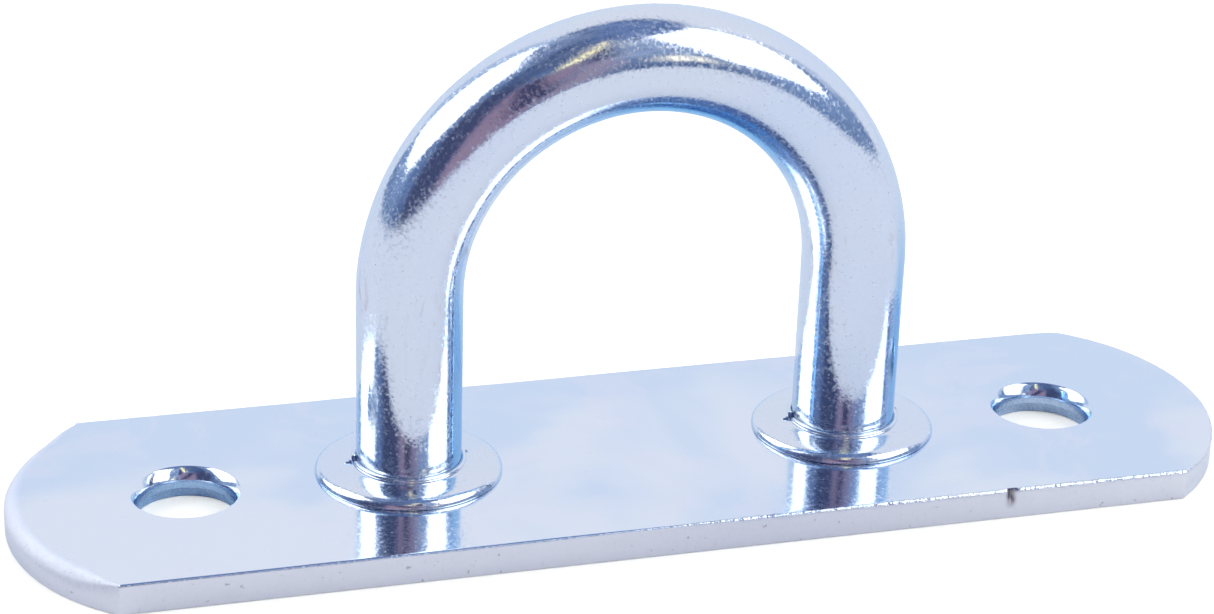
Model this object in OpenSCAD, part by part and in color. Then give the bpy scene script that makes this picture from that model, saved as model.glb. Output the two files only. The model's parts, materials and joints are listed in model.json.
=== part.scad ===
// Pad eye: a bow of round bar riveted through a flat base plate, with a collar under each foot.
// Millimetres. The origin is the centre of the plate's back face, +X runs along the plate
// and +Z stands out of the surface that the plate is screwed to.

/* [Base plate] */
// Length of the plate over its two curved ends
plate_l = 95.5; // [90:0.5:110]
// Width of the plate
plate_w = 26; // [22:0.5:30]
// Thickness of the plate
plate_t = 2.5; // [2.2:0.1:4]
// Radius of the shallow arc at each end of the plate
end_r = 16; // [15.5:0.5:24]
// Width of the bevel that breaks the front face's edges
edge_bevel = 0.3; // [0.1:0.05:0.6]

/* [Screw holes] */
// Distance between the two screw holes
hole_pitch = 68.8; // [64:0.2:74]
// Diameter of the clean punched wall in the middle of each hole
hole_d = 7; // [5:0.1:7.6]
// Diameter of the countersink at the front face
csk_d = 8.4; // [7.8:0.1:11]
// Depth of the countersink
csk_depth = 1; // [0.4:0.1:1.2]
// Diameter of the punch's break-out at the back face
breakout_d = 7.8; // [7.7:0.1:8.4]
// Height of the break-out above the back face
breakout_h = 0.9; // [0.3:0.1:0.9]

/* [Bow] */
// Diameter of the round bar
bar_d = 8; // [7:0.5:9]
// Distance between the centre lines of the two legs
leg_pitch = 34.8; // [28:0.2:40]
// Height of the bend's centre above the back face
bend_z = 17; // [10:0.5:40]

/* [Rivet ends] */
// Diameter of the turned-down spigot at the end of each leg
spigot_d = 6; // [4.5:0.5:6]
// Diameter of the spread rivet head at the back face
head_d = 9; // [8:0.5:10]
// Depth of the countersink that the rivet head fills
head_depth = 1.5; // [0.8:0.1:1.8]
// How far the rivet head stays below the back face
head_recess = 0.1; // [0:0.05:0.3]

/* [Collars] */
// Outer diameter of each collar
collar_d = 14.2; // [13:0.2:16]
// Thickness of the collar under the leg's shoulder
seat_t = 0.6; // [0.4:0.1:0.8]
// Height of the collar's dome where it meets the lip
dome_h = 0.95; // [0.85:0.05:1.1]
// Wall thickness of the lip that stands up round the leg
lip_wall = 0.35; // [0.3:0.05:0.6]
// Height of the lip above the plate
lip_h = 1.4; // [1.2:0.1:1.8]
// Width of the nick that the closing dies leave beside each lip
nick_w = 1; // [0.4:0.1:1.4]
// Length of the nick from the lip out to its point
nick_l = 0.5; // [0.3:0.1:0.8]

/* [Hidden] */
$fn = 96;
clear = 1;
leg_x = leg_pitch / 2;
hole_x = hole_pitch / 2;
bar_r = bar_d / 2;
collar_r = collar_d / 2;
lip_r = bar_r + lip_wall;
dome_w = collar_r - lip_r;
dome_r = (dome_w * dome_w + dome_h * dome_h) / (2 * dome_h);
shoulder_z = plate_t + seat_t;
spigot_r = spigot_d / 2;
nick_overlap = 0.1;

// Cross-section of the strip in width and thickness, bevelled along its two front edges
module strip_section() {
  polygon([
    [-plate_w / 2, 0],
    [plate_w / 2, 0],
    [plate_w / 2, plate_t - edge_bevel],
    [plate_w / 2 - edge_bevel, plate_t],
    [-plate_w / 2 + edge_bevel, plate_t],
    [-plate_w / 2, plate_t - edge_bevel]
  ]);
}

// The disc that an end of the strip is sheared to, bevelled like the long edges
module end_disc() {
  cylinder(r = end_r, h = plate_t - edge_bevel);
  translate([0, 0, plate_t - edge_bevel])
    cylinder(r1 = end_r, r2 = end_r - edge_bevel, h = edge_bevel);
}

// Strip with its two ends sheared to arcs wider than a half round
module plate_blank() {
  intersection() {
    rotate([90, 0, 90])
      linear_extrude(plate_l, center = true)
        strip_section();
    union() {
      translate([-plate_l / 2 + end_r, -plate_w / 2, 0])
        cube([plate_l - 2 * end_r, plate_w, plate_t]);
      for (side = [-1, 1])
        translate([side * (plate_l / 2 - end_r), 0, 0])
          end_disc();
    }
  }
}

// Everything removed at a screw hole: punched wall, countersink above and break-out below
module screw_hole() {
  translate([0, 0, -clear])
    cylinder(d = hole_d, h = plate_t + 2 * clear);
  translate([0, 0, plate_t - csk_depth])
    cylinder(d1 = hole_d, d2 = csk_d, h = csk_depth);
  cylinder(d1 = breakout_d, d2 = hole_d, h = breakout_h);
}

// Everything removed at a leg: spigot hole and the countersink for the rivet head
module rivet_hole() {
  translate([0, 0, -clear])
    cylinder(d = spigot_d, h = plate_t + 2 * clear);
  cylinder(d1 = head_d, d2 = spigot_d, h = head_depth);
}

module base_plate() {
  color("lightsteelblue")
    difference() {
      plate_blank();
      for (side = [-1, 1]) {
        translate([side * hole_x, 0, 0])
          screw_hole();
        translate([side * leg_x, 0, 0])
          rivet_hole();
      }
    }
}

// One straight leg with its shoulder, the spigot below it and the spread head at the back
module leg() {
  head_at_recess = head_d - (head_d - spigot_d) * head_recess / head_depth;
  translate([0, 0, shoulder_z])
    cylinder(d = bar_d, h = bend_z - shoulder_z);
  translate([0, 0, head_recess])
    cylinder(d = spigot_d, h = shoulder_z - head_recess);
  translate([0, 0, head_recess])
    cylinder(d1 = head_at_recess, d2 = spigot_d, h = head_depth - head_recess);
}

module bow() {
  color("lightslategray")
    union() {
      translate([0, 0, bend_z])
        rotate([90, 0, 0])
          rotate_extrude(angle = 180)
            translate([leg_x, 0])
              circle(d = bar_d);
      for (side = [-1, 1])
        translate([side * leg_x, 0, 0])
          leg();
    }
}

// Half section of a collar: a dome that falls from the lip to the plate, and the seat for the shoulder
module collar_section() {
  difference() {
    union() {
      intersection() {
        translate([spigot_r, 0])
          square([collar_r - spigot_r, dome_h]);
        translate([lip_r, dome_h - dome_r])
          circle(r = dome_r);
      }
      translate([spigot_r, 0])
        square([lip_r - spigot_r, lip_h]);
    }
    translate([0, seat_t])
      square([bar_r, lip_h]);
  }
}

// A domed ring whose nick, a three-sided pit that points along -X, is cut in beside the lip
module collar() {
  color("silver")
    difference() {
      rotate_extrude()
        collar_section();
      translate([-lip_r - nick_l, 0, seat_t])
        linear_extrude(lip_h)
          polygon([
            [0, 0],
            [nick_l + nick_overlap, -nick_w / 2],
            [nick_l + nick_overlap, nick_w / 2]
          ]);
    }
}

module left_collar() {
  translate([-leg_x, 0, plate_t])
    collar();
}

module right_collar() {
  translate([leg_x, 0, plate_t])
    collar();
}

base_plate();
bow();
left_collar();
right_collar();
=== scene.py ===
import json
import math

import bmesh
import bpy
import numpy as np
from mathutils import Matrix, Vector


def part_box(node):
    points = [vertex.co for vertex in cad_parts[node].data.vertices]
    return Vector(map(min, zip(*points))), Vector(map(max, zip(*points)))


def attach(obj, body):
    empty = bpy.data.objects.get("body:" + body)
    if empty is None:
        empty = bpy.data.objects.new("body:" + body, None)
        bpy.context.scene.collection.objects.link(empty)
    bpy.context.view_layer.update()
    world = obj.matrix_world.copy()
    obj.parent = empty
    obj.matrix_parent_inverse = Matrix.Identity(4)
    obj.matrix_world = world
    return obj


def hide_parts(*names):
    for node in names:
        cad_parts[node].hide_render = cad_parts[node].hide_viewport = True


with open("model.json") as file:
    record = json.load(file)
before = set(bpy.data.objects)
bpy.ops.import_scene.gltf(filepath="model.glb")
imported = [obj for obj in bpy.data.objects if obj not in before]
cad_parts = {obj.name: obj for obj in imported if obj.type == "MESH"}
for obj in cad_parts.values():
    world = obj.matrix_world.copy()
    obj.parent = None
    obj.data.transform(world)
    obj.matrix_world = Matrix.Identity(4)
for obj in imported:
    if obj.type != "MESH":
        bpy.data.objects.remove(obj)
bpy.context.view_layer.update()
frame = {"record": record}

MM = 0.001

# ---------------------------------------------------------------- sizes taken from the frame

plate_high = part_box("base_plate")[1]
bow_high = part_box("bow")[1]
collar_low, collar_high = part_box("right_collar")
screw_holes = next(m for m in frame["record"]["mounts"] if m["name"] == "screw_holes")

HALF_LENGTH = plate_high.x
HALF_WIDTH = plate_high.y
PLATE_T = plate_high.z
LEG_X = (collar_low.x + collar_high.x) / 2
BAR_R = 4.0 * MM           # half of the bar's diameter; the bow's box is as wide as its rivet heads
BEND_Z = bow_high.z - LEG_X - BAR_R
COLLAR_R = (collar_high.x - collar_low.x) / 2
COLLAR_TOP = collar_high.z
HOLE_X = screw_holes["dims"]["spacing_x_mm"] / 2 * MM
HOLE_R = screw_holes["dims"]["hole_r_mm"] * MM

# ---------------------------------------------------------------- sizes of the finer shapes

END_R = 16 * MM            # arc at each end of the plate
COUNTERSINK_R = 4.2 * MM
COUNTERSINK_DEPTH = 1.0 * MM
COUNTERSINK_POWER = 1.35   # 1 is a straight cone and 2 a round edge
BREAKOUT_R = 3.9 * MM      # where the punch tore out at the back face
BREAKOUT_H = 0.9 * MM
SPIGOT_R = 3.0 * MM
HEAD_R = 4.5 * MM          # rivet head in the back face
HEAD_DEPTH = 1.5 * MM
HEAD_RECESS = 0.1 * MM
SEAT_T = 0.6 * MM          # collar under the leg's shoulder
DOME_H = 0.95 * MM         # collar beside its lip
LIP_WALL = 0.35 * MM
FIT = 0.01 * MM            # play between parts that were pressed together


# ---------------------------------------------------------------- mesh tools

def ripple(u, v, pitch, seed):
    """Smooth unevenness, about -1 to 1: a sum of seven sine waves of roughly that pitch, with
    directions, lengths and phases drawn from the seed."""
    draw = np.random.default_rng(seed)
    angle = draw.uniform(0, 2 * np.pi, 7)
    phase = draw.uniform(0, 2 * np.pi, 7)
    stretch = draw.uniform(0.6, 1.5, 7)
    along = np.multiply.outer(u, np.cos(angle)) + np.multiply.outer(v, np.sin(angle))
    return np.sin(along * stretch * 2 * np.pi / pitch + phase).sum(-1) / 3.5


def smooth(x, low, high):
    """0 below low, 1 above high, and a smooth S between them."""
    t = np.clip((x - low) / (high - low), 0, 1)
    return t * t * (3 - 2 * t)


def bump_at(x, centre, width):
    """A round hump of height 1 at the centre that dies away over the width."""
    return np.exp(-((x - centre) / width) ** 2)


def line(start, end, count):
    """Evenly spaced points from start to end, as two columns."""
    return np.linspace(start, end, count)


def quads_of(rows, columns, closed):
    """The four corner numbers of every cell of a grid, its last column joined to its first if closed."""
    r = np.arange(rows - 1)[:, None]
    c = np.arange(columns if closed else columns - 1)[None, :]
    d = (c + 1) % columns
    return np.stack([r * columns + c, (r + 1) * columns + c, (r + 1) * columns + d, r * columns + d],
                    -1).reshape(-1, 4)


def build(name, patches, sharp_deg):
    """One closed mesh object from grids of points, each given as (points, closed, marks). Corners
    that coincide are welded, cells that shrink to a triangle at a pole become triangles, and the
    faces are turned outwards. Marks are named arrays, one number from 0 to 1 per point, that the
    finish reads; a patch without them counts as 0."""
    points, quads, start = [], [], 0
    names = sorted({mark for _, _, marks in patches for mark in marks})
    painted = {mark: [] for mark in names}
    for grid, closed, marks in patches:
        rows, columns = grid.shape[:2]
        points.append(grid.reshape(-1, 3))
        for mark in names:
            painted[mark].append(np.broadcast_to(marks.get(mark, 0.0), (rows, columns)).reshape(-1))
        quads.append(quads_of(rows, columns, closed) + start)
        start += rows * columns
    points, quads = np.concatenate(points), np.concatenate(quads)
    _, first, number = np.unique(np.round(points * 1e7).astype(np.int64), axis=0,
                                 return_index=True, return_inverse=True)
    quads = number.reshape(-1)[quads]
    same = quads == np.roll(quads, -1, axis=1)
    whole = quads[~same.any(1)]
    folded, at = quads[same.sum(1) == 1], same[same.sum(1) == 1].argmax(1)
    keep = (at[:, None] + np.array([1, 2, 3])) % 4
    triangles = np.take_along_axis(folded, keep, axis=1)
    mesh = bpy.data.meshes.new(name)
    mesh.from_pydata(points[first].tolist(), [], whole.tolist() + triangles.tolist())
    work = bmesh.new()
    work.from_mesh(mesh)
    bmesh.ops.recalc_face_normals(work, faces=work.faces)
    work.to_mesh(mesh)
    work.free()
    mesh.polygons.foreach_set("use_smooth", np.ones(len(mesh.polygons), bool))
    mesh.set_sharp_from_angle(angle=math.radians(sharp_deg))
    for mark in names:
        layer = mesh.attributes.new(mark, "FLOAT", "POINT")
        layer.data.foreach_set("value", np.concatenate(painted[mark])[first].astype(np.float32))
    piece = bpy.data.objects.new(name, mesh)
    bpy.context.scene.collection.objects.link(piece)
    return piece


# ---------------------------------------------------------------- base plate

SPLIT_X = (LEG_X + HOLE_X) / 2    # where the cell round a leg meets the cell round a screw hole
ROLL_ROWS = 13                    # rows of points down the rolled edge, the wall and the back edge
WALL_ROWS = 10
FOOT_ROWS = 7
FOOT_R = 0.16 * MM                # round along the back edge
CORNER_R = {(-1, -1): 0.45 * MM, (1, -1): 0.5 * MM, (1, 1): 2.4 * MM, (-1, 1): 0.7 * MM}
DENT_X = 26.6 * MM                # a knock on the near top edge
DENT_LOW = 1.1 * MM               # how far above the back face it reaches down
DENT_DEPTH = 0.42 * MM
DENT_W = 0.3 * MM


def corner(side_x, side_y):
    """Radius, centre and turn of one rounded corner: a fillet that touches both the straight side
    and the end arc from inside. The turn is the angle at which it meets the end arc."""
    r = CORNER_R[side_x, side_y]
    rise = HALF_WIDTH - r
    run = math.sqrt((END_R - r) ** 2 - rise ** 2)
    return r, (side_x * (HALF_LENGTH - END_R + run), side_y * rise), math.atan2(rise, run)


def plate_outline():
    """Points and outward directions round the plate, anticlockwise from the near left corner, and
    the numbers of the points where the cells split on the near side and on the far side."""
    points, away = [], []

    def straight(x_stops, side_y):
        """Even points along a side from stop to stop, closer together on the short stretches, with
        a mark at every stop passed."""
        for a, b in zip(x_stops, x_stops[1:]):
            step = 0.07 * MM if abs(b - a) < 2 * MM else 0.7 * MM
            count = max(2, int(abs(b - a) / step))
            x = np.linspace(a, b, count, endpoint=False)
            points.extend(zip(x, np.full(count, side_y * HALF_WIDTH)))
            away.extend([(0, side_y)] * count)
            marks.append(len(points))

    def curve(centre, radius, start, end, step_deg):
        """Points on a circle between two turns in radians, about one step apart."""
        count = max(4, int(abs(math.degrees(end - start)) / step_deg))
        t = np.linspace(start, end, count, endpoint=False)
        points.extend(zip(centre[0] + radius * np.cos(t), centre[1] + radius * np.sin(t)))
        away.extend(zip(np.cos(t), np.sin(t)))

    end_x = HALF_LENGTH - END_R
    r_nl, c_nl, turn_nl = corner(-1, -1)
    r_nr, c_nr, turn_nr = corner(1, -1)
    r_fr, c_fr, turn_fr = corner(1, 1)
    r_fl, c_fl, turn_fl = corner(-1, 1)
    marks = []
    straight([c_nl[0], -SPLIT_X, 0, SPLIT_X, SPLIT_X + 1.4 * MM, c_nr[0]], -1)
    near = marks[:3]
    curve(c_nr, r_nr, -math.pi / 2, -turn_nr, 6)
    curve((end_x, 0), END_R, -turn_nr, turn_fr, 1.2)
    curve(c_fr, r_fr, turn_fr, math.pi / 2, 4)
    marks = []
    straight([c_fr[0], SPLIT_X, 0, -SPLIT_X, c_fl[0]], 1)
    far = marks[:3]
    curve(c_fl, r_fl, math.pi / 2, math.pi - turn_fl, 6)
    curve((-end_x, 0), END_R, math.pi - turn_fl, math.pi + turn_nl, 1.2)
    curve(c_nl, r_nl, math.pi + turn_nl, 1.5 * math.pi, 6)
    return np.array(points), np.array(away), near, far


def plate_edge(outline, away):
    """The rolled-over edge and the wall as rows from the front face to the back face. The roll is a
    quarter ellipse: its reach over the face and its drop are small along the sides, a little wider
    on the near side and the right end, and large on the left end, where the shear dragged the metal
    down. Beside a corner's fillet the roll is capped so that it can't fold over itself."""
    x, y = outline.T
    left_end = smooth(-away[:, 0], 0.15, 0.6)
    right_end = smooth(x, 38 * MM, 42 * MM)
    near = smooth(-y, 12 * MM, 13 * MM)
    near_left = near * smooth(-x, -12 * MM, 10 * MM) * (1 - left_end)
    near_right = near * smooth(x, 0, 8 * MM) * (1 - right_end)
    uneven = ripple(x, y, 9 * MM, 3)
    room = 9 * MM
    for side, fillet_r in CORNER_R.items():
        centre = corner(*side)[1]
        away_from_it = np.hypot(x - centre[0], y - centre[1]) - fillet_r
        room = np.minimum(room, 0.75 * fillet_r + 0.4 * np.maximum(away_from_it, 0))
    reach = 0.13 + 1.5 * left_end + 0.22 * right_end + 0.12 * near_left + 0.16 * near_right
    reach = (reach + 0.03 * uneven) * MM
    tapered = np.minimum(reach, room) / reach
    reach = reach * tapered
    drop = 0.8 * left_end + 0.16 * right_end + 0.09 * near_left + 0.19 * near_right + 0.02 * uneven
    drop = (0.11 + drop * tapered) * MM
    turn = np.radians(np.linspace(90, 0, ROLL_ROWS))[:, None]
    roll_in = reach * (1 - np.cos(turn))
    roll_z = PLATE_T - drop * (1 - np.sin(turn))
    share = np.linspace(0, 1, WALL_ROWS + 2)[1:-1, None]
    wall_z = (PLATE_T - drop) * (1 - share) + FOOT_R * share
    hollow = 0.018 * MM * (1 + ripple(x, y, 2.3 * MM, 8)) * np.sin(np.pi * share) ** 0.5
    dent = DENT_DEPTH * bump_at(x, DENT_X, DENT_W) * (y < 0)
    turn = np.radians(np.linspace(0, 90, FOOT_ROWS))[:, None]
    foot_in = FOOT_R * (1 - np.cos(turn)) + 0 * x
    foot_z = FOOT_R * (1 - np.sin(turn)) + 0 * x
    inset = np.concatenate([roll_in, hollow, foot_in])
    z = np.concatenate([roll_z, wall_z, foot_z])
    row = np.arange(len(z))[:, None]
    dented = smooth(z, DENT_LOW, DENT_LOW + 0.8 * MM) * smooth(row, 0, 4)
    inset = inset + 0.008 * MM * smooth(row, 0, 8)
    inset = inset + dent * dented
    xy = outline[None] - away[None] * inset[..., None]
    return np.concatenate([xy, z[..., None]], -1)


def cell_loops(ring, near, far):
    """The four closed loops that share out a face: each takes its stretch of the ring and the split
    lines beside it. Keys are the sides, from the left end to the right end."""
    def split(k):
        """The points inside the straight line across the face at one split."""
        return np.linspace(ring[near[k]], ring[far[2 - k]], 26)[1:-1]

    n = len(ring)
    left_end = [ring[far[2]:n], ring[0:near[0] + 1], split(0)]
    left_leg = [ring[near[0]:near[1] + 1], split(1), ring[far[1]:far[2] + 1], split(0)[::-1]]
    right_leg = [ring[near[1]:near[2] + 1], split(2), ring[far[0]:far[1] + 1], split(1)[::-1]]
    right_end = [ring[near[2]:far[0] + 1], split(2)[::-1]]
    names = ("left_end", "left_leg", "right_leg", "right_end")
    return {k: np.concatenate(v) for k, v in zip(names, (left_end, left_leg, right_leg, right_end))}


def face_cell(loop, facing, centre_x, hole_r, z):
    """Rows of points from a round hole out to the cell's loop, closer together beside the hole. The
    points on the hole lie in the directions of the facing loop, as the hole's wall does."""
    centre = np.array([centre_x, 0])
    outward = facing[:, :2] - centre
    outward /= np.linalg.norm(outward, axis=1)[:, None]
    start = np.concatenate([centre + outward * hole_r, np.full((len(loop), 1), z)], 1)
    share = (np.linspace(0, 1, 30) ** 1.35)[:, None, None]
    return start[None] * (1 - share) + loop[None] * share


def hole_wall(loop, centre_x, profile, uneven, seed):
    """The wall of a hole: a profile of (radius, height) carried round the centre at the directions
    of the cell's loop, its radius uneven by the given amount along the profile."""
    centre = np.array([centre_x, 0])
    outward = loop[:, :2] - centre
    outward /= np.linalg.norm(outward, axis=1)[:, None]
    radius = profile[:, 0][:, None]
    wobble = ripple(outward[:, 0] * 3.5 * MM, outward[:, 1] * 3.5 * MM, 1.6 * MM, seed)
    radius = radius + uneven[:, None] * wobble[None]
    xy = centre + outward[None] * radius[..., None]
    z = np.broadcast_to(profile[:, 1][:, None], radius.shape)
    return np.concatenate([xy, z[..., None]], -1)


def screw_hole_profile():
    """Front to back: the countersink, a quarter of a superellipse that leaves the face level and
    meets the hole upright, then the clean punched wall and the wider, rougher break-out. The second
    result says how uneven each point's radius is."""
    cone_z = PLATE_T - COUNTERSINK_DEPTH
    tear_z = BREAKOUT_H
    inward = 1 - (1 - np.linspace(0, 1, 24)) ** 1.5
    down = 1 - (1 - inward ** COUNTERSINK_POWER) ** (1 / COUNTERSINK_POWER)
    cone = np.stack([COUNTERSINK_R - (COUNTERSINK_R - HOLE_R - 0.02 * MM) * inward,
                     PLATE_T - COUNTERSINK_DEPTH * down], -1)
    profile = np.concatenate([
        cone,
        line((HOLE_R + 0.004 * MM, cone_z - 0.06 * MM), (HOLE_R, tear_z + 0.03 * MM), 6),
        line((HOLE_R + 0.06 * MM, tear_z - 0.03 * MM), (BREAKOUT_R - 0.08 * MM, 0.12 * MM), 8),
        line((BREAKOUT_R, 0.03 * MM), (BREAKOUT_R + 0.05 * MM, 0), 3),
    ])
    uneven = np.concatenate([np.linspace(0, 0.006, 24), np.full(6, 0.004),
                             np.linspace(0.02, 0.07, 8), np.zeros(3)]) * MM
    return profile, uneven


def rivet_hole_profile():
    """Front to back: the spigot's bore, then the cone that the rivet head fills."""
    profile = np.concatenate([
        line((SPIGOT_R + FIT, PLATE_T), (SPIGOT_R + FIT, HEAD_DEPTH), 5),
        line((SPIGOT_R + 0.3 * MM, HEAD_DEPTH - 0.3 * MM), (HEAD_R + FIT, 0.0), 8),
    ])
    return profile, np.zeros(len(profile))


def make_plate():
    """The plate: front and back faces as four cells each, the edge, and the walls of the four
    holes. The front face is uneven by up to 0.05 mm, always below its true height. The edge is
    marked for its finish by row: sheared on the wall, rolled along the top, dragged on the left end
    and darker in the dent. The punched walls of the holes are marked for the painted blue reflection."""
    outline, away, near, far = plate_outline()
    edge = plate_edge(outline, away)
    front = cell_loops(edge[0], near, far)
    back = cell_loops(edge[-1], near, far)
    row = np.arange(len(edge))[:, None]
    dragged = smooth(-away[:, 0], 0.15, 0.6)
    x, y = outline.T
    dent = bump_at(x, DENT_X - 0.05 * MM, DENT_W) * (y < 0) * smooth(row, 4, 9) * smooth(-row, -20, -15)
    edge_marks = {"sheared": smooth(row, 5 - 5 * dragged, 14 - 6 * dragged),
                  "dragged": dragged * smooth(row, 0, 3) * smooth(-row, -18, -12),
                  "rolled": smooth(row, 1, 4) * smooth(-row, -13, -10) * smooth(x, -6 * MM, 6 * MM),
                  "dirt": dent}
    patches = [(edge, True, edge_marks)]
    holes = {"left_end": (-HOLE_X, screw_hole_profile()), "left_leg": (-LEG_X, rivet_hole_profile()),
             "right_leg": (LEG_X, rivet_hole_profile()), "right_end": (HOLE_X, screw_hole_profile())}
    for seed, (cell, (x, (profile, uneven))) in enumerate(holes.items()):
        facing = front[cell]
        (top_r, top_z), bottom_r = profile[0], profile[-1, 0]
        punched = profile[:, 1:] < PLATE_T - COUNTERSINK_DEPTH - 0.02 * MM
        # the punched walls of the holes take the painted blue reflection too
        wall_marks = {"sheared": 0.49 * punched, "film": 0.945 * punched}
        patches.append((face_cell(facing, facing, x, top_r, top_z), True, {}))
        patches.append((hole_wall(facing, x, profile, uneven, 20 + seed), True, wall_marks))
        patches.append((face_cell(back[cell], facing, x, bottom_r, 0), True, {}))
    settled = []
    for grid, closed, marks in patches:
        x, y, z = np.moveaxis(grid, -1, 0)
        wave = 0.016 * (1.3 + ripple(x, y, 26 * MM, 5)) + 0.0035 * (1 + ripple(x, y, 7 * MM, 6))
        drop = wave * MM * smooth(z, 0.5 * PLATE_T, PLATE_T)
        settled.append((np.stack([x, y, z - drop], -1), closed, marks))
    return settled


# ---------------------------------------------------------------- bow

def bow_stations():
    """Stations along the bow, each a distance from the back face measured along the centre line and
    a radius there: the rivet head's face and cone, the spigot, the shoulder, then the bar."""
    dish = 0.12 * MM
    cone_r = HEAD_R - (HEAD_R - SPIGOT_R) * HEAD_RECESS / HEAD_DEPTH
    shoulder = PLATE_T + SEAT_T
    groove = 0.05 * MM
    face = np.linspace(0, 1, 12)
    leg = np.linspace(shoulder + 0.1 * MM, BEND_Z, 90)
    scored = groove * (bump_at(leg, 4.22 * MM, 0.07 * MM) * 0.35 + bump_at(leg, 3.93 * MM, 0.1 * MM))
    parts = [
        np.stack([HEAD_RECESS + dish * (1 - face ** 3), face * (cone_r - 0.15 * MM)], -1),
        line((HEAD_RECESS, cone_r), (HEAD_DEPTH - 0.05 * MM, SPIGOT_R + 0.03 * MM), 8),
        line((HEAD_DEPTH, SPIGOT_R), (shoulder - 0.01 * MM, SPIGOT_R), 5),
        line((shoulder, SPIGOT_R + 0.2 * MM), (shoulder, BAR_R - 0.1 * MM), 3),
        np.stack([leg, BAR_R - scored], -1),
    ]
    return np.concatenate(parts)


def make_bow():
    """The bow: a circle carried up the left leg, round the half circle and down the right leg. The
    bar keeps its radius, less a few hundredths of a millimetre of unevenness, and is a touch
    flatter across the bend, as bent bar is. The blue reflection mark says where a painted blue
    reflection is laid as a deeper blue tint: under the crown and on the right sides of the legs."""
    foot = bow_stations()
    bend = np.radians(np.linspace(180, 0, 241))[1:-1]
    around = np.radians(np.arange(128) * 360 / 128)
    side = np.cos(around)[None]
    front = np.sin(around)[None]

    def leg_grid(x_sign):
        """Circles of the stations' radii stacked at their heights, round one leg's centre line."""
        height, radius = foot[:, :1], foot[:, 1:]
        return np.stack([x_sign * (LEG_X + radius * side), radius * front + 0 * height,
                         height + 0 * side], -1)

    squeeze = 0.05 * MM * np.sin(bend)[:, None] ** 2
    out = LEG_X + (BAR_R - squeeze) * side
    arch = np.stack([out * np.cos(bend)[:, None], BAR_R * front + 0 * out,
                     BEND_Z + out * np.sin(bend)[:, None]], -1)
    grid = np.concatenate([leg_grid(-1), arch, leg_grid(1)[::-1]])
    x, y, z = np.moveaxis(grid, -1, 0)
    turn = np.arctan2(np.maximum(z - BEND_Z, 0), x)
    along = np.where(z > BEND_Z, LEG_X * turn, np.where(x > 0, z - BEND_Z, LEG_X * np.pi + BEND_Z - z))
    centre = np.where((z > BEND_Z)[..., None],
                      np.stack([LEG_X * np.cos(turn), 0 * x, BEND_Z + LEG_X * np.sin(turn)], -1),
                      np.stack([np.sign(x) * LEG_X, 0 * x, z], -1))
    uneven = ripple(along, y, 11 * MM, 11) * 0.6 + ripple(along, y, 4.5 * MM, 12) * 0.25
    less = 0.014 * MM * (1 + uneven) * smooth(z, PLATE_T + 1.6 * MM, PLATE_T + 5 * MM)
    outward = grid - centre
    length = np.maximum(np.linalg.norm(outward, axis=-1, keepdims=True), 1e-9)
    facing = outward / length
    # painted blue reflection: a deeper blue tint on faces turned down under the crown and on faces
    # turned right on the legs
    under = smooth(-facing[..., 2], 0.35, 0.8) * smooth(z, BEND_Z + 2 * MM, BEND_Z + 8 * MM)
    right_side = smooth(facing[..., 0], 0.5, 0.72) * smooth(-z, -24 * MM, -14 * MM)
    under = under * (0.2 + 0.8 * smooth(x, -15 * MM, 2 * MM))
    film = np.maximum(0.95 * under, 0.68 * right_side)
    return [(grid - facing * less[..., None], True, {"film": film})]


# ---------------------------------------------------------------- collars

def collar_profile(rim, lip_top):
    """Rows of (radius, height above the plate) for every direction round a collar: up the bore, over
    the seat, up inside the lip, over its rounded top, down its scored outer wall, out over the dome
    and in under the rim. The dome slopes gently from the lip and turns down close to the rim, with
    a hollow fillet against the lip."""
    one = np.ones_like(rim)
    lip_r = (BAR_R + LIP_WALL) * one
    bore_r = (SPIGOT_R + 2 * FIT) * one
    seat = (SEAT_T - FIT) * one
    rows = [(bore_r, 0 * one), (bore_r, seat), ((BAR_R + FIT) * one, seat)]
    gape = 0.012 * MM
    for share in np.linspace(0, 1, 6):
        rows.append((BAR_R + FIT + gape * smooth(share, 0.5, 1) * one,
                     SEAT_T + (lip_top - 0.06 * MM - SEAT_T) * share))
    crown_r = 0.5 * (LIP_WALL - gape)
    crown_h = 0.8 * crown_r
    for t in np.radians(np.linspace(150, 0, 8)):
        rows.append((lip_r - crown_r + crown_r * math.cos(t), lip_top - crown_h * (1 - math.sin(t))))
    low = (DOME_H + 0.06 * MM) * one
    for share in np.linspace(0, 1, 14)[1:]:
        height = (lip_top - crown_h) * (1 - share) + low * share
        score = 0.055 * MM * bump_at(height, DOME_H + 0.14 * MM, 0.045 * MM)
        rows.append((lip_r - score, height))
    under = 0.07 * MM
    for share in 1 - (1 - np.linspace(0, 1, 52)[1:]) ** 1.7:
        out = (rim - lip_r) * share
        fall = (DOME_H - under - 0.3 * MM * share ** 1.4) * (1 - share ** 9) ** 0.6
        fillet = 0.1 * MM * np.exp(-out / (0.13 * MM)) * (1 - share)
        rows.append((lip_r + out, under + fall + fillet))
    for t in np.radians(np.linspace(0, -90, 6))[1:]:
        rows.append((rim - under * (1 - math.cos(t)), under * (1 + math.sin(t)) * one))
    rows.append((bore_r, 0 * one))
    return np.array([r for r, _ in rows]), np.array([h for _, h in rows])


NICK_L = 1.15 * MM                # from the leg to the pit's point
NICK_HALF = 0.6 * MM              # half of the pit's width at the leg


def collar_directions():
    """Directions round a collar, 1 degree apart and four times closer at the two nicks."""
    t = np.arange(0, 360, 0.25)
    keep = (t % 1 == 0) | (np.abs(t - 180) < 14) | (t < 10) | (t > 350)
    return np.radians(t[keep])


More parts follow.
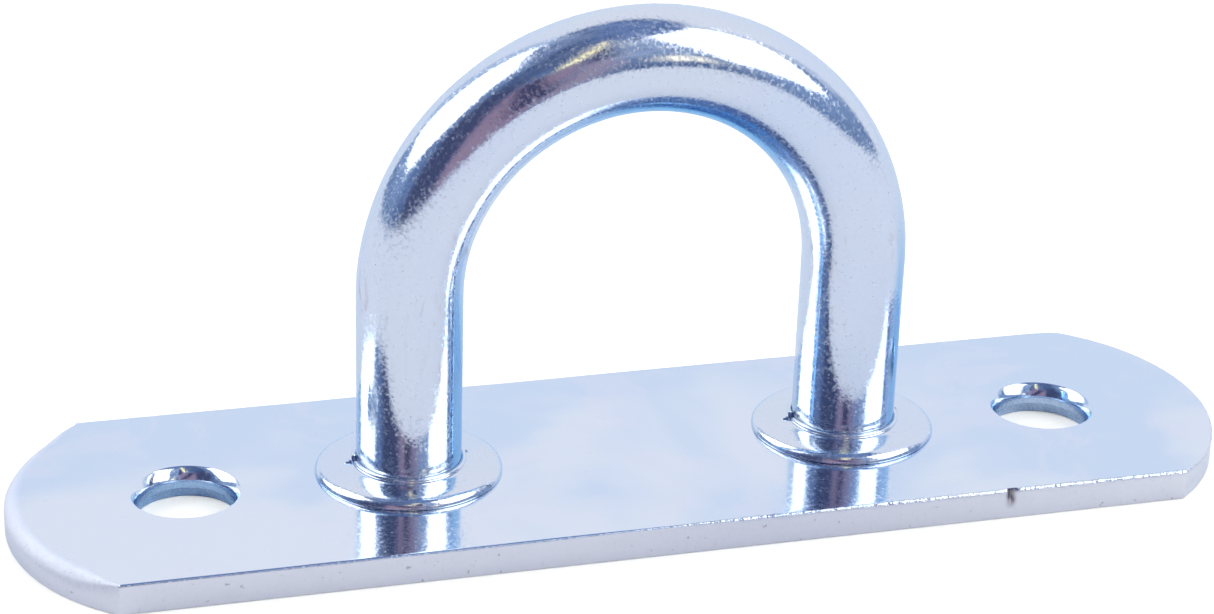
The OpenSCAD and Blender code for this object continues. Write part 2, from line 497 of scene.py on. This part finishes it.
def make_collar(centre_x, seed):
    """A collar: its half section carried round the leg. The rim reaches further along the plate than
    across it, the lip's top rises and falls, and a pit pointing away from the leg is struck in on
    the left, with a small one on the right."""
    around = collar_directions()
    cos, sin = np.cos(around), np.sin(around)
    rim = COLLAR_R + (0.17 * np.cos(2 * around) - 0.14) * MM
    rim = rim + 0.035 * MM * ripple(cos * 7 * MM, sin * 7 * MM, 5 * MM, seed)
    lip_top = COLLAR_TOP - PLATE_T - (0.06 + 0.07 * (1 - np.cos(around - np.pi - 0.3))) * MM
    lip_top = lip_top + 0.02 * MM * ripple(cos * 4 * MM, sin * 4 * MM, 3 * MM, seed + 1)
    radius, height = collar_profile(rim, lip_top)
    lip_r = BAR_R + LIP_WALL
    swell = 0.02 * MM * ripple(radius * cos, radius * sin, 3.2 * MM, seed + 2)
    height = height + swell * smooth(radius, lip_r, lip_r + MM) * smooth(rim - radius, 0, 0.7 * MM)
    x, y = radius * cos, radius * sin
    on_top = (height > 0.3 * MM) & (radius > lip_r - 0.02 * MM)
    beyond_leg = radius > BAR_R + 0.005 * MM
    reach = -x - BAR_R
    half = np.maximum(NICK_HALF * (1 - reach / NICK_L), 1e-6)
    inside = np.clip(1.7 * (1 - np.abs(y - 0.05 * MM) / half), 0, 1)
    inside = inside * (reach < NICK_L) * beyond_leg * (x < 0)
    floor = SEAT_T + 0.03 * MM + 0.3 * MM * np.maximum(reach, 0) / NICK_L
    height = height - inside * np.maximum(height - floor, 0)
    flank = bump_at(y - half - 0.1 * MM, 0, 0.1 * MM) * smooth(reach, 0, 0.1 * MM)
    burr = flank * smooth(0.9 * MM - reach, 0, 0.2 * MM) * on_top * (x < 0)
    right = bump_at(x - lip_r - 0.1 * MM, 0, 0.16 * MM) * bump_at(y, 0.12 * MM, 0.22 * MM)
    height = height + (0.05 * burr - 0.2 * right * on_top) * MM
    return [(np.stack([centre_x + x, y, PLATE_T + height], -1), True, {})]


# ---------------------------------------------------------------- finishes

class Nodes:
    """Short calls for building one material's or the world's node tree."""

    def __init__(self, owner):
        owner.use_nodes = True
        self.tree = owner.node_tree
        self.tree.nodes.clear()

    def add(self, kind, **settings):
        """A new node with its settings."""
        node = self.tree.nodes.new(kind)
        for key, value in settings.items():
            setattr(node, key, value)
        return node

    def feed(self, socket, value):
        """Links a socket to another, or sets it to a constant."""
        if isinstance(value, bpy.types.NodeSocket):
            self.tree.links.new(value, socket)
        else:
            socket.default_value = value

    def math(self, operation, a, b=0.0, c=0.0, clamp=False):
        """The result of one sum on up to three numbers or sockets."""
        node = self.add("ShaderNodeMath", operation=operation, use_clamp=clamp)
        for socket, value in zip(node.inputs, (a, b, c)):
            self.feed(socket, value)
        return node.outputs[0]

    def ramp(self, value, low, high, out_low=0.0, out_high=1.0):
        """A smooth S from one result to the other as the value goes from low to high."""
        node = self.add("ShaderNodeMapRange", interpolation_type="SMOOTHSTEP")
        for socket, item in zip(node.inputs, (value, low, high, out_low, out_high)):
            self.feed(socket, item)
        return node.outputs[0]

    def mix(self, share, a, b):
        """Colour a, turning into colour b as the share goes from 0 to 1."""
        node = self.add("ShaderNodeMix", data_type="RGBA")
        self.feed(node.inputs[0], share)
        self.feed(node.inputs[6], a if isinstance(a, bpy.types.NodeSocket) else (*a, 1))
        self.feed(node.inputs[7], b if isinstance(b, bpy.types.NodeSocket) else (*b, 1))
        return node.outputs[2]

    def noise(self, where, pitch, detail=2.0, roughness=0.5, distortion=0.0):
        """Noise from 0 to 1 whose features are about one pitch across."""
        node = self.add("ShaderNodeTexNoise")
        self.feed(node.inputs["Vector"], where)
        node.inputs["Scale"].default_value = 1 / pitch
        node.inputs["Detail"].default_value = detail
        node.inputs["Roughness"].default_value = roughness
        node.inputs["Distortion"].default_value = distortion
        return node.outputs[0]

    def placed(self, turn=(0, 0, 0), stretch=(1, 1, 1), shift=(0, 0, 0)):
        """Object coordinates, turned and stretched for one pattern."""
        where = self.add("ShaderNodeTexCoord").outputs["Object"]
        node = self.add("ShaderNodeMapping", vector_type="POINT")
        self.feed(node.inputs["Vector"], where)
        node.inputs["Location"].default_value = shift
        node.inputs["Rotation"].default_value = turn
        node.inputs["Scale"].default_value = stretch
        return node.outputs[0]

    def bump(self, height, distance, below=None):
        """A relief of the given height in metres, on top of another one."""
        node = self.add("ShaderNodeBump")
        node.inputs["Strength"].default_value = 1.0
        node.inputs["Distance"].default_value = distance
        self.feed(node.inputs["Height"], height)
        if below is not None:
            self.feed(node.inputs["Normal"], below)
        return node.outputs[0]


BAR_FILMS = (0.72, 0.785, 0.88), (0.68, 0.765, 0.90), (0.74, 0.775, 0.885)
STRIP_FILMS = (0.78, 0.845, 0.935), (0.65, 0.765, 0.925), (0.79, 0.815, 0.93)
DULL_ZINC = (0.46, 0.47, 0.52)
# the colour of the painted blue reflection
BLUE_REFLECTION_TINT = (0.12, 0.46, 0.82)
SHEARED_ZINC = (0.83, 0.84, 0.885)
# painted light on the sheared faces towards the right end
SHEARED_PAINTED_LIGHT = (0.97, 0.98, 1.0)
GRIME_AND_DENT_DARK = (0.20, 0.155, 0.18)
STAIN = (0.50, 0.44, 0.45)
RIM_TINT = (0.84, 0.93, 1.0, 1.0)


SPECK_PITCH = 0.34 * MM


def specks(n, pitch):
    """Crowded round domes about one pitch across, from 0 to 1, and a chance from 0 to 1 drawn for
    each of them."""
    cell = n.add("ShaderNodeTexVoronoi")
    n.feed(cell.inputs["Vector"], n.placed())
    cell.inputs["Scale"].default_value = 1 / pitch
    chance = n.add("ShaderNodeSeparateColor")
    n.feed(chance.inputs[0], cell.outputs["Color"])
    return n.ramp(cell.outputs["Distance"], 0.55, 0.0), chance.outputs[0]


def zinc(name, films, rough, peel, grit, speck, dusty, blotch=1.0, stains=0.0, film=False, edges=False):
    """Bright zinc plating with blue passivation. The passivation drifts between clear, blue and faintly
    mauve over centimetres, the gloss changes with it, and dust-size pits are a little darker. The
    relief is an orange peel of about half a millimetre, a fine grit, crowded round specks and the
    pits; the taller specks and a fine mottle are duller too. Options: brownish stains drawn out
    downwards, a painted blue reflection laid as a deeper blue tint where the piece is marked for
    it, and greyer, rougher, finely lined sheared edges, with painted light that makes them paler
    towards the right end and a darker dent where the edge is marked for it."""
    material = bpy.data.materials.new(name)
    n = Nodes(material)
    plain = n.placed()
    spot = n.add("ShaderNodeSeparateXYZ")
    n.feed(spot.inputs[0], plain)
    drift = n.noise(plain, 24 * MM, 3.0, 0.55, 0.5)
    drift = n.math("MULTIPLY_ADD", spot.outputs[1], 7.0 * blotch, drift)
    drift = n.math("MULTIPLY_ADD", spot.outputs[0], 1.3 * blotch, drift)
    drift = n.math("SUBTRACT", drift, n.ramp(spot.outputs[0], 39 * MM, 46 * MM, 0.0, 0.15 * blotch))
    cloud = n.noise(n.placed(shift=(0.03, 0.01, 0.02)), 9 * MM, 4.0, 0.6, 0.6)
    clear, blue, mauve = films
    tint = n.mix(n.ramp(drift, 0.38, 0.58), clear, blue)
    tint = n.mix(n.math("MULTIPLY", n.ramp(cloud, 0.48, 0.66), 0.42 * blotch), tint, mauve)
    pit = n.ramp(n.noise(plain, 0.5 * MM, 1.0, 0.5, 0.2), 0.74, 0.8)
    tint = n.mix(n.math("MULTIPLY", pit, 0.2 * blotch), tint, DULL_ZINC)
    if stains:
        smear = n.noise(n.placed(stretch=(1, 1, 0.28), shift=(0, 0.02, 0)), 0.9 * MM, 4.0, 0.65, 0.5)
        where = n.ramp(n.noise(plain, 7 * MM, 2.0, 0.5), 0.42, 0.62)
        where = n.math("MULTIPLY", where, n.ramp(spot.outputs[2], 1.6 * BEND_Z, 1.1 * BEND_Z))
        smear = n.math("MULTIPLY", n.ramp(smear, 0.55, 0.72), where)
        tint = n.mix(n.math("MULTIPLY", smear, stains), tint, STAIN)
    if film:
        # painted blue reflection, laid as a deeper blue tint where the piece is marked for it
        laid = n.add("ShaderNodeAttribute", attribute_name="film").outputs["Fac"]
        tint = n.mix(laid, tint, BLUE_REFLECTION_TINT)
    grain = n.noise(plain, 0.13 * MM, 2.0, 0.6)
    dull = n.math("MULTIPLY_ADD", cloud, 0.6, n.math("MULTIPLY", grain, 0.4))
    matt = n.ramp(dull, 0.3, 0.7, rough[0], rough[1])
    dome, chance = specks(n, SPECK_PITCH)
    fleck = n.math("MULTIPLY", dome, n.math("POWER", chance, 1.4))
    matt = n.math("MULTIPLY_ADD", fleck, dusty, matt)
    mottle = n.ramp(n.noise(plain, 0.3 * MM, 2.0, 0.6), 0.48, 0.62)
    matt = n.math("MULTIPLY_ADD", mottle, 0.65 * dusty, matt)
    relief = n.bump(n.noise(plain, 0.6 * MM, 2.0, 0.5), peel)
    relief = n.bump(n.noise(plain, 0.16 * MM, 1.0, 0.5), grit, relief)
    relief = n.bump(n.math("MULTIPLY", dome, n.math("MULTIPLY_ADD", chance, 0.8, 0.2)), speck, relief)
    relief = n.bump(n.math("SUBTRACT", 1.0, pit), 0.001 * MM, relief)
    if edges:
        sheared = n.add("ShaderNodeAttribute", attribute_name="sheared").outputs["Fac"]
        rolled = n.add("ShaderNodeAttribute", attribute_name="rolled").outputs["Fac"]
        dragged = n.add("ShaderNodeAttribute", attribute_name="dragged").outputs["Fac"]
        dirt = n.add("ShaderNodeAttribute", attribute_name="dirt").outputs["Fac"]
        lined = n.noise(n.placed(stretch=(1, 1, 0.3)), 0.22 * MM, 3.0, 0.6)
        tint = n.mix(n.math("MULTIPLY", sheared, 0.9), tint, SHEARED_ZINC)
        # painted light: the sheared faces are painted paler towards the right end
        pale = n.math("MULTIPLY", n.ramp(spot.outputs[0], 8 * MM, 36 * MM, 0.0, 0.55), sheared)
        tint = n.mix(pale, tint, SHEARED_PAINTED_LIGHT)
        tint = n.mix(n.math("MULTIPLY", n.ramp(lined, 0.62, 0.75, 0.0, 0.35), sheared), tint, STAIN)
        grime = n.ramp(n.noise(plain, 0.6 * MM, 2.0, 0.6), 0.70, 0.76)
        grime = n.math("MULTIPLY", grime, n.math("MAXIMUM", n.math("MULTIPLY", sheared, 0.5), rolled))
        # grime on the sheared and rolled edge, and the marked dent, turn darker
        tint = n.mix(n.math("MULTIPLY", n.math("MAXIMUM", dirt, grime), 0.9), tint, GRIME_AND_DENT_DARK)
        matt = n.math("ADD", matt, n.math("MULTIPLY", sheared, 0.34), clamp=True)
        matt = n.math("ADD", matt, n.math("MULTIPLY", dragged, 0.30), clamp=True)
        relief = n.bump(n.math("MULTIPLY", lined, sheared), 0.012 * MM, relief)
        beads = n.noise(plain, 0.32 * MM, 2.0, 0.6)
        relief = n.bump(n.math("MULTIPLY", beads, rolled), 0.085 * MM, relief)
    shader = n.add("ShaderNodeBsdfPrincipled")
    shader.inputs["Metallic"].default_value = 1.0
    shader.inputs["Specular Tint"].default_value = RIM_TINT
    n.feed(shader.inputs["Base Color"], tint)
    n.feed(shader.inputs["Roughness"], matt)
    n.feed(shader.inputs["Normal"], relief)
    n.feed(n.add("ShaderNodeOutputMaterial").inputs["Surface"], shader.outputs[0])
    return material


CARD_DIM = (0.86, 0.86, 0.862)
CARD_CLEAN = (0.88, 0.88, 0.882)


def pale_floor():
    """Matt white card with the faintest mottle, a touch over-lit to the eye as cut-out card is."""
    material = bpy.data.materials.new("white_card")
    n = Nodes(material)
    mottle = n.noise(n.placed(), 60 * MM, 3.0, 0.5)
    shader = n.add("ShaderNodeBsdfPrincipled")
    n.feed(shader.inputs["Base Color"], n.mix(n.ramp(mottle, 0.3, 0.7), CARD_DIM, CARD_CLEAN))
    seen = n.add("ShaderNodeLightPath").outputs["Is Camera Ray"]
    shader.inputs["Emission Color"].default_value = (1.0, 0.98, 0.8, 1.0)
    n.feed(shader.inputs["Emission Strength"], n.math("MULTIPLY", seen, 0.4))
    shader.inputs["Roughness"].default_value = 0.9
    shader.inputs["Specular IOR Level"].default_value = 0.1
    n.feed(n.add("ShaderNodeOutputMaterial").inputs["Surface"], shader.outputs[0])
    return material


# ---------------------------------------------------------------- studio

def heading(azimuth, elevation):
    """Unit direction from the object: azimuth 0 is -Y and 90 is +X, elevation is up from the floor."""
    a, e = math.radians(azimuth), math.radians(elevation)
    return Vector((math.sin(a) * math.cos(e), -math.cos(a) * math.cos(e), math.sin(e)))


SOFTBOX_LEVEL = 2.95
BACKDROP = (0.90, 0.90, 0.955)
CARD_WHITE = (0.96, 0.97, 1.0)
ROOM_BLUE = (0.11, 0.175, 0.35)
HAZE_BLUE = (0.26, 0.365, 0.57)
DARK_PLUM = (0.06, 0.066, 0.14)
CEILING_LEFT = (0.21, 0.27, 0.44)
CEILING_DARK = (0.055, 0.08, 0.18)
CEILING_RIGHT = (0.14, 0.235, 0.50)
ROSE = (0.40, 0.26, 0.34)
PALE_ROSE = (0.44, 0.33, 0.41)
SHADOW = (0.06, 0.065, 0.14)
NAVY = (0.06, 0.10, 0.23)
SKY_STREAK = (0.50, 0.62, 0.84)
CREAM_YELLOW = (1.9, 1.6, 0.85)
CREAM_WHITE = (1.6, 1.45, 1.15)
BOX_SHADE = (0.46, 0.56, 0.74)


def studio_world():
    """The room round the fitting, painted by azimuth and elevation in degrees: two soft boxes from
    17 to 64 degrees up, a pale backdrop behind the fitting, a pale floor below the horizon, and
    elsewhere a dim blue room with a mottled ceiling. In the room are a dark corner, a rosy curtain
    with a shadow across it, sky-blue streaks, and two small cream reflectors. The camera itself
    sees plain white."""
    world = bpy.data.worlds.new("studio")
    bpy.context.scene.world = world
    n = Nodes(world)
    look = n.add("ShaderNodeTexCoord").outputs["Generated"]
    part = n.add("ShaderNodeSeparateXYZ")
    n.feed(part.inputs[0], look)
    ahead = n.math("MULTIPLY", part.outputs[1], -1.0)
    azimuth = n.math("DEGREES", n.math("ARCTAN2", part.outputs[0], ahead))
    elevation = n.math("DEGREES", n.math("ARCSINE", n.math("MINIMUM", part.outputs[2], 1.0)))

    def zone(az_low, az_high, el_low, el_high, soft, lean=0.0, tall_soft=None):
        """1 inside a range of azimuths and elevations; the lean is the degrees of azimuth that the
        range moves for each degree up from its middle."""
        rise = n.math("SUBTRACT", elevation, (el_low + el_high) / 2)
        across = n.math("SUBTRACT", azimuth, n.math("MULTIPLY", rise, lean))
        end = tall_soft or soft
        wide = n.math("MULTIPLY", n.ramp(across, az_low - soft, az_low + soft),
                      n.ramp(across, az_high + soft, az_high - soft))
        tall = n.math("MULTIPLY", n.ramp(elevation, el_low - end, el_low + end),
                      n.ramp(elevation, el_high + end, el_high - end))
        return n.math("MULTIPLY", wide, tall)

    def below_line(az_a, el_a, az_b, el_b, soft):
        """1 on the left of the line through two directions, seen with the elevation upwards."""
        slope = (az_b - az_a) / (el_b - el_a)
        line_az = n.math("MULTIPLY_ADD", elevation, slope, az_a - slope * el_a)
        return n.ramp(n.math("SUBTRACT", azimuth, line_az), soft, -soft)

    def paint(under, mask, strength, colour):
        """The colour laid over what is under it, as strongly as the mask times the strength."""
        return n.mix(n.math("MULTIPLY", mask, strength), under, colour)

    streaks = n.noise(look, 0.13, 4.0, 0.65, 1.0)
    fine = n.noise(look, 0.045, 3.0, 0.6, 0.8)
    colour = n.mix(n.ramp(streaks, 0.35, 0.7), ROOM_BLUE, n.mix(0.45, ROOM_BLUE, HAZE_BLUE))
    colour = paint(colour, zone(-150, -92, -5, 22, 8), 0.9, HAZE_BLUE)
    colour = paint(colour, zone(30, 100, -5, 22, 6), 0.8, HAZE_BLUE)
    skirting = n.math("MULTIPLY", zone(-150, 100, -3, 8, 4), n.ramp(fine, 0.42, 0.62))
    colour = paint(colour, skirting, 0.6, NAVY)
    colour = paint(colour, zone(-220, 220, 66, 120, 4), 1.0, CEILING_RIGHT)
    colour = paint(colour, zone(-220, -50, 66, 120, 4), 1.0, CEILING_LEFT)
    colour = paint(colour, zone(-62, -10, 52, 84, 8), 0.9, CEILING_DARK)
    high = zone(-220, 220, 55, 120, 5)
    colour = paint(colour, high, n.ramp(fine, 0.50, 0.66, 0.0, 0.6), SKY_STREAK)
    colour = paint(colour, high, n.ramp(fine, 0.54, 0.42, 0.0, 0.85), NAVY)
    colour = paint(colour, zone(-72, -32, 0, 50, 7, tall_soft=6), 0.9, DARK_PLUM)
    colour = paint(colour, zone(-33, -1, 1, 41, 4), n.ramp(fine, 0.3, 0.6, 0.62, 1.0), ROSE)
    colour = paint(colour, zone(-20, -7, 9, 41, 3.0, lean=-0.65), 1.0, SHADOW)
    colour = paint(colour, zone(1, 9, 2, 36, 2.5), 0.85, PALE_ROSE)
    colour = paint(colour, zone(0.5, 9, 34, 58, 2), 1.0, SHADOW)
    colour = paint(colour, zone(-86, -62, 40, 66, 5), 0.5, HAZE_BLUE)
    colour = paint(colour, zone(8, 30, 24, 66, 3), n.ramp(fine, 0.38, 0.62, 0.1, 0.85), SKY_STREAK)
    colour = paint(colour, zone(-6.6, 0.8, 43, 70, 2.0, lean=0.5), 0.9, CREAM_YELLOW)
    colour = paint(colour, zone(17, 26, 11.5, 21.5, 2.5), 1.0, CREAM_WHITE)
    room = n.math("MAXIMUM", zone(-143, 96, -20, 120, 3), n.ramp(elevation, 62, 66))
    colour = n.mix(room, BACKDROP, colour)
    colour = paint(colour, zone(-156, -140, 14, 74, 3.5), 0.85, BOX_SHADE)
    colour = paint(colour, zone(86, 98, 17, 66, 2.5), 0.8, n.mix(0.5, BOX_SHADE, BACKDROP))
    left_box = n.math("MULTIPLY", zone(-140.5, -81.5, 18, 63.5, 1.6), below_line(-100, 18, -86, 34, 2.0))
    right_box = n.math("MULTIPLY", zone(31.5, 88, 18, 63.5, 1.6), below_line(72, 18, 86, 40, 2.0))
    for box in (left_box, right_box):
        colour = n.mix(box, colour, (SOFTBOX_LEVEL,) * 3)
    colour = n.mix(n.ramp(elevation, 0.6, -0.6), colour, CARD_WHITE)
    seen = n.add("ShaderNodeLightPath").outputs["Is Camera Ray"]
    colour = n.mix(seen, colour, (1.0, 1.0, 1.0))
    background = n.add("ShaderNodeBackground")
    n.feed(background.inputs["Color"], colour)
    n.feed(n.add("ShaderNodeOutputWorld").inputs["Surface"], background.outputs[0])


def make_floor():
    """A wide, flat card under the plate."""
    size = 3.0
    mesh = bpy.data.meshes.new("floor")
    mesh.from_pydata([(-size, -size, 0), (size, -size, 0), (size, size, 0), (-size, size, 0)], [],
                     [(0, 1, 2, 3)])
    floor = bpy.data.objects.new("floor", mesh)
    bpy.context.scene.collection.objects.link(floor)
    mesh.materials.append(pale_floor())
    return floor


def make_camera():
    """A long lens from the near left, above the plate, rolled a little."""
    distance, roll = 234.3 * MM, math.radians(1.957)
    target = Vector((-2.16 * MM, 0, 14.57 * MM))
    back = heading(-16.45, 24.59)
    right = Vector((0, 0, 1)).cross(back).normalized()
    up = back.cross(right)
    across = math.cos(roll) * right + math.sin(roll) * up
    over = math.cos(roll) * up - math.sin(roll) * right
    data = bpy.data.cameras.new("camera")
    data.sensor_width, data.lens = 36, 91.97
    data.clip_start, data.clip_end = 0.01, 20
    camera = bpy.data.objects.new("camera", data)
    bpy.context.scene.collection.objects.link(camera)
    turned = Matrix((across, over, back)).transposed().to_4x4()
    camera.matrix_world = Matrix.Translation(target + distance * back) @ turned
    bpy.context.scene.camera = camera


# ---------------------------------------------------------------- the fitting

def place(name, patches, sharp_deg, material, node):
    """Makes a piece, gives it its finish and lets it stand for its CAD node."""
    piece = build(name, patches, sharp_deg)
    piece.data.materials.append(material)
    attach(piece, "root")
    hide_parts(node)
    return piece


make_camera()
make_floor()
studio_world()

zinc_plate = zinc("zinc_on_strip", STRIP_FILMS, rough=(0.07, 0.12), peel=0.0012 * MM,
                  grit=0.0015 * MM, speck=0.0022 * MM, dusty=0.14, film=True, edges=True)
zinc_bar = zinc("zinc_on_bar", BAR_FILMS, rough=(0.07, 0.14), peel=0.0024 * MM,
                grit=0.0017 * MM, speck=0.0042 * MM, dusty=0.21, blotch=0.5, stains=0.7, film=True)
zinc_collar = zinc("zinc_on_collar", BAR_FILMS, rough=(0.08, 0.15), peel=0.002 * MM,
                   grit=0.0025 * MM, speck=0.0035 * MM, dusty=0.2, blotch=0.5)

place("plated_base", make_plate(), 35, zinc_plate, "base_plate")
place("plated_bow", make_bow(), 35, zinc_bar, "bow")
place("plated_collar_left", make_collar(-LEG_X, 31), 35, zinc_collar, "left_collar")
place("plated_collar_right", make_collar(LEG_X, 41), 35, zinc_collar, "right_collar")

bpy.context.scene.view_settings.view_transform = "Standard"
